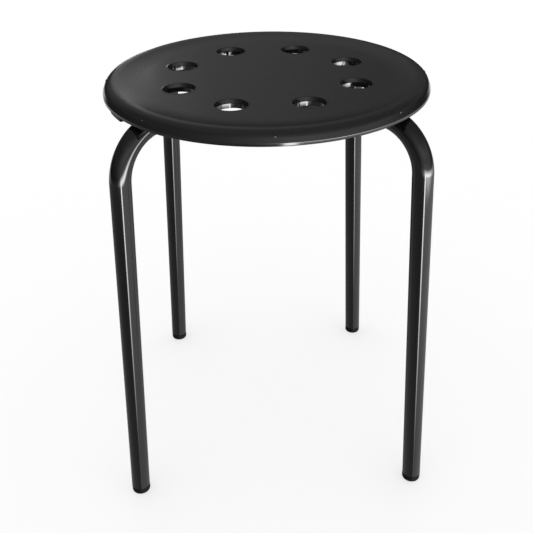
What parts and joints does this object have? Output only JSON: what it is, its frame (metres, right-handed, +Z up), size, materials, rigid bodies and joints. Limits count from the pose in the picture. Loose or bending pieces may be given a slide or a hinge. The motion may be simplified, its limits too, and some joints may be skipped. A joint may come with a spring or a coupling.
{
  "type": "stacking stool",
  "caption": "Round stacking stool: a dished plastic seat with finger holes on two bent tube hoops that cross and are bolted under it, on plastic foot plugs.",
  "frame": {"origin": "on the floor, under the middle of the stool's outer box", "axes": "+Z up, +X to the stool's right as it is seen in the picture, +Y to the back, where the hoops cross"},
  "size_m": [0.332, 0.326, 0.441],
  "materials": {
    "seat": "satin black, fine moulded texture",
    "tube": "gloss black",
    "plug": "plain black",
    "screw": "zinc plated",
    "insert": "turned"
  },
  "bodies": {
    "root": {"seat": "seat", "hoop_upper": "tube", "hoop_lower": "tube", "crossing_spacer": "plug", "crossing_bolt": "screw", "crossing_washer": "screw", "crossing_nut": "screw", "foot_plug_front_left": "plug", "seat_bolt_front_left": "screw", "seat_washer_front_left": "screw", "seat_insert_front_left": "insert", "foot_plug_back_right": "plug", "seat_bolt_back_right": "screw", "seat_washer_back_right": "screw", "seat_insert_back_right": "insert", "foot_plug_front_right": "plug", "seat_bolt_front_right": "screw", "seat_washer_front_right": "screw", "seat_insert_front_right": "insert", "foot_plug_back_left": "plug", "seat_bolt_back_left": "screw", "seat_washer_back_left": "screw", "seat_insert_back_left": "insert"}
  },
  "joints": []
}
